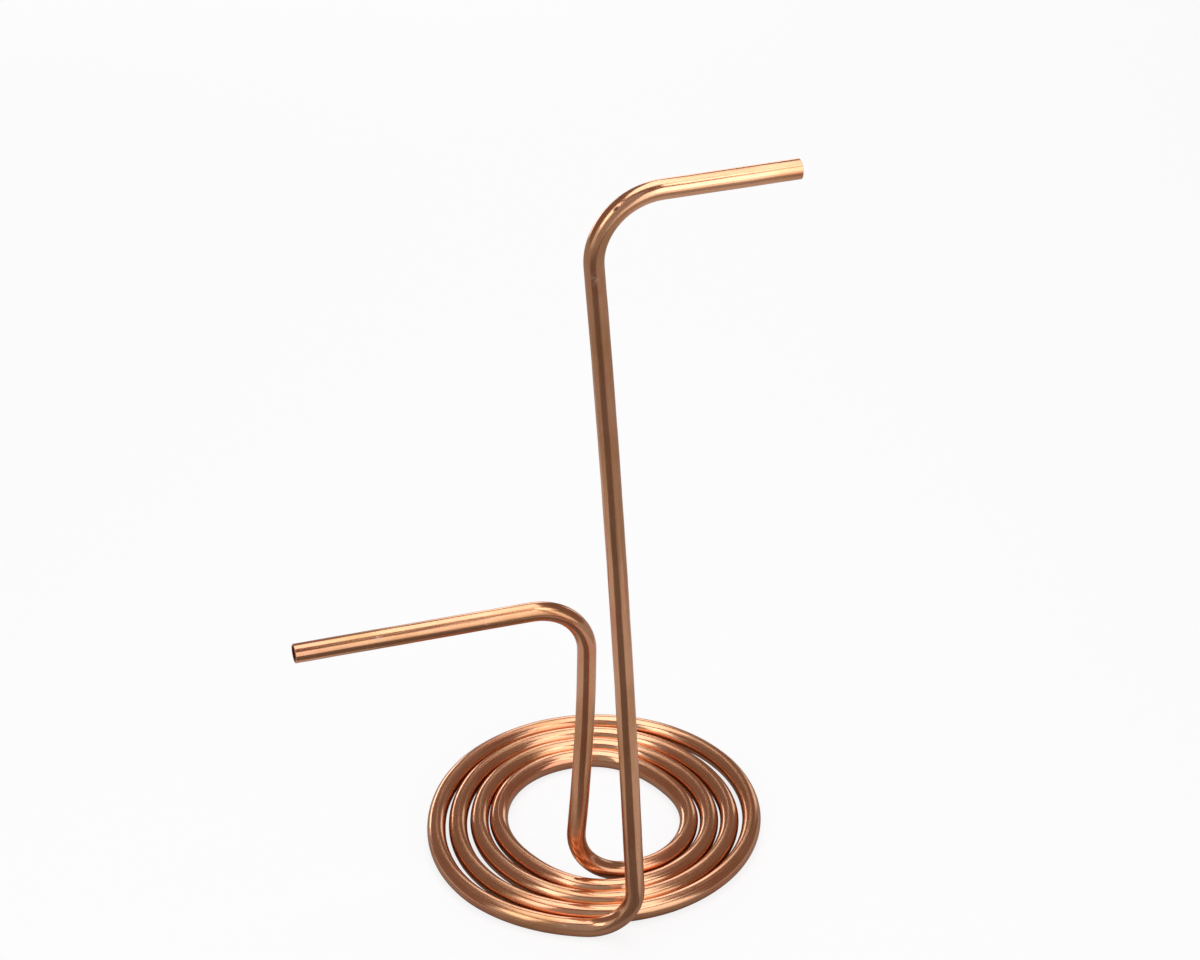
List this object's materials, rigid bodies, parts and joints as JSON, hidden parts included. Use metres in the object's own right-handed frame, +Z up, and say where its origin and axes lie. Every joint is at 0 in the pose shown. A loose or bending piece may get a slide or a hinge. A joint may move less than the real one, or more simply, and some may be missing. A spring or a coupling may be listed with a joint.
{
  "type": "immersion wort chiller",
  "caption": "Bare copper tube wound into a flat coil, with a tall and a short riser that each turn out into a level arm with an open, square-cut end.",
  "frame": {"origin": "Middle of the whole tube's footprint, on the plane that the coil lies on.", "axes": "+X along both arms, towards the open end of the tall one. +Z up. -Y is the side that both risers stand on."},
  "size_m": [0.25, 0.1842, 0.4298],
  "materials": {
    "copper": "bare drawn copper, satin, with light handling tarnish"
  },
  "bodies": {
    "root": {"coil_turn_1": "copper", "coil_turn_2": "copper", "coil_turn_3": "copper", "coil_turn_4": "copper", "outer_foot_bend": "copper", "tall_riser": "copper", "tall_top_bend": "copper", "tall_arm": "copper", "inner_foot_bend": "copper", "short_riser": "copper", "short_top_bend": "copper", "short_arm": "copper"}
  },
  "joints": []
}
